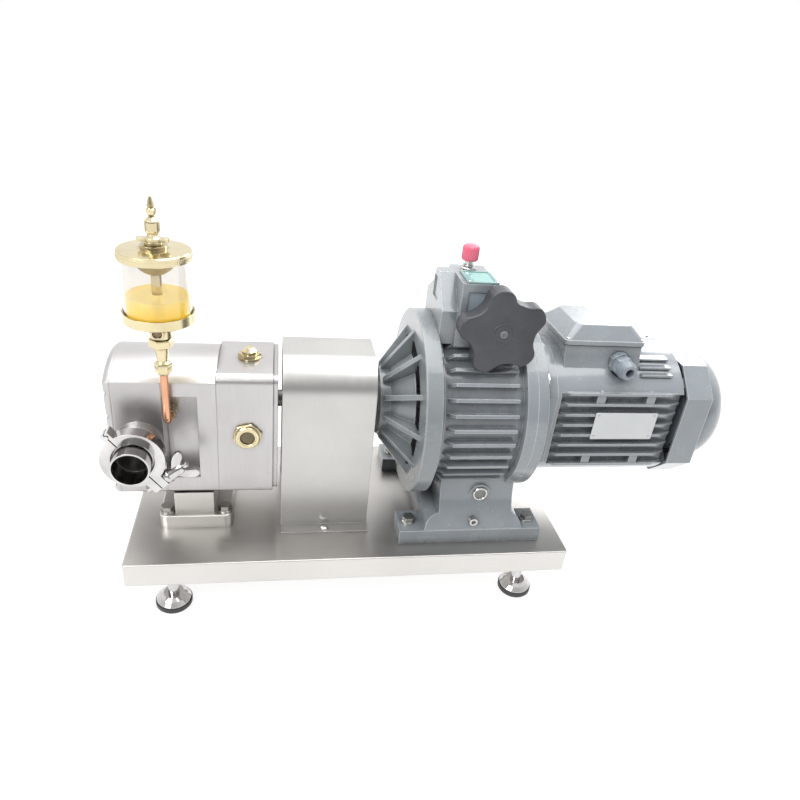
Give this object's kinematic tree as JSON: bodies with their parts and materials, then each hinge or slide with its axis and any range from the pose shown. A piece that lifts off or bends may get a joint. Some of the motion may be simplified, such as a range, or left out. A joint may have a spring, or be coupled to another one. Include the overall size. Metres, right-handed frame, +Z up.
{
  "type": "rotary lobe pump",
  "caption": "Rotary lobe pump set on a levelling steel base, with drip oiler, guarded coupling, handwheel-set planetary speed variator and flange motor.",
  "frame": {"origin": "floor level, under the middle of the set's length and on the vertical plane through the pump's shafts", "axes": "+X along the drive shaft from the pump to the motor, +Y from the handwheel side to the back, +Z up"},
  "size_m": [0.7042, 0.232, 0.4477],
  "materials": {
    "stainless_sheet": "brushed stainless steel sheet and plate",
    "stainless_body": "bead-blasted and brushed stainless steel",
    "polished_steel": "polished stainless steel",
    "rotor_steel": "machined stainless steel",
    "shaft_steel": "ground steel",
    "gear_steel": "oiled hardened steel",
    "seal_carbon": "carbon and ceramic seal rings",
    "black_rubber": "black rubber",
    "brass": "turned brass, lightly tarnished",
    "copper": "drawn copper tube",
    "oil_glass": "clear cup wall, oil behind it",
    "grey_paint": "blue-grey gloss paint on castings",
    "dark_plastic": "dark moulded plastic",
    "red_cap": "red plastic cap on a steel neck",
    "inner_steel": "machined steel, inside",
    "winding": "steel laminations with varnished windings"
  },
  "bodies": {
    "pump_set": {"base_plate": "stainless_sheet", "pump_bracket": "stainless_sheet", "coupling_guard": "stainless_sheet", "front_cover": "stainless_body", "rotor_case": "stainless_body", "bearing_housing": "stainless_body", "gear_case": "stainless_body", "rear_cover": "stainless_body", "foot_stems": "polished_steel", "foot_nuts": "polished_steel", "cover_nuts": "polished_steel", "port_ferrules": "polished_steel", "port_clamps": "polished_steel", "clamp_bolts": "polished_steel", "guard_screws": "polished_steel", "hex_bolts": "polished_steel", "shaft_seals": "seal_carbon", "foot_pads": "black_rubber", "port_gaskets": "black_rubber", "oiler_stem": "brass", "oiler_base": "brass", "oiler_lid": "brass", "feed_fitting": "brass", "oil_sight_glass": "brass", "filler_plug": "brass", "variator_plugs": "brass", "feed_tube": "copper", "oiler_glass": "oil_glass", "variator_cone": "grey_paint", "variator_body": "grey_paint", "control_box": "grey_paint", "motor_shield": "grey_paint", "motor_frame": "grey_paint", "terminal_lid": "grey_paint", "fan_cowl": "grey_paint", "cable_gland": "dark_plastic", "breather": "red_cap", "track_ring": "inner_steel", "bearings": "inner_steel", "stator": "winding"},
    "motor_line": {"motor_rotor": "inner_steel", "fan": "dark_plastic", "sun_disc": "inner_steel"},
    "drive_line": {"drive_shaft": "shaft_steel", "drive_rotor": "rotor_steel", "drive_rotor_nut": "rotor_steel", "drive_gear": "gear_steel", "coupling_hubs": "inner_steel", "coupling_spider": "black_rubber", "planet_carrier": "inner_steel", "planet_discs": "inner_steel"},
    "driven_line": {"driven_shaft": "shaft_steel", "driven_rotor": "rotor_steel", "driven_rotor_nut": "rotor_steel", "driven_gear": "gear_steel"},
    "handwheel": {"handwheel": "dark_plastic"},
    "front_wing_nut": {"front_wing_nut": "polished_steel"},
    "rear_wing_nut": {"rear_wing_nut": "polished_steel"},
    "oiler_adjuster": {"oiler_adjuster": "brass"},
    "oiler_lever": {"oiler_lever": "brass"}
  },
  "joints": [
    {"name": "motor_spin", "type": "hinge", "parent": "pump_set", "child": "motor_line", "pos_m": [0.2, 0, 0.218], "axis": [1, 0, 0], "continuous": true},
    {"name": "drive_shaft_spin", "type": "hinge", "parent": "pump_set", "child": "drive_line", "pos_m": [-0.2, 0, 0.218], "axis": [1, 0, 0], "continuous": true},
    {"name": "driven_shaft_spin", "type": "hinge", "parent": "pump_set", "child": "driven_line", "pos_m": [-0.2, 0, 0.1648], "axis": [1, 0, 0], "continuous": true},
    {"name": "handwheel_turn", "type": "hinge", "parent": "pump_set", "child": "handwheel", "pos_m": [0.04915, -0.05, 0.335], "axis": [0, -1, 0], "range_deg": [-1440, 1440]},
    {"name": "front_wing_nut_turn", "type": "hinge", "parent": "pump_set", "child": "front_wing_nut", "pos_m": [-0.29731, -0.0817, 0.16185], "axis": [0.788, 0, 0.6157], "range_deg": [0, 1440]},
    {"name": "rear_wing_nut_turn", "type": "hinge", "parent": "pump_set", "child": "rear_wing_nut", "pos_m": [-0.29731, 0.0817, 0.16185], "axis": [0.788, 0, 0.6157], "range_deg": [0, 1440]},
    {"name": "oiler_adjuster_turn", "type": "hinge", "parent": "pump_set", "child": "oiler_adjuster", "pos_m": [-0.28895, -0.058, 0.3965], "axis": [0, 0, 1], "range_deg": [-720, 720]},
    {"name": "oiler_lever_tilt", "type": "hinge", "parent": "oiler_adjuster", "child": "oiler_lever", "pos_m": [-0.28895, -0.058, 0.4347], "axis": [0, 1, 0], "range_deg": [0, 90]}
  ],
  "couplings": [
    {"joint": "drive_shaft_spin", "follows": "motor_spin", "ratio": 0.28571},
    {"joint": "driven_shaft_spin", "follows": "motor_spin", "ratio": -0.28571}
  ]
}
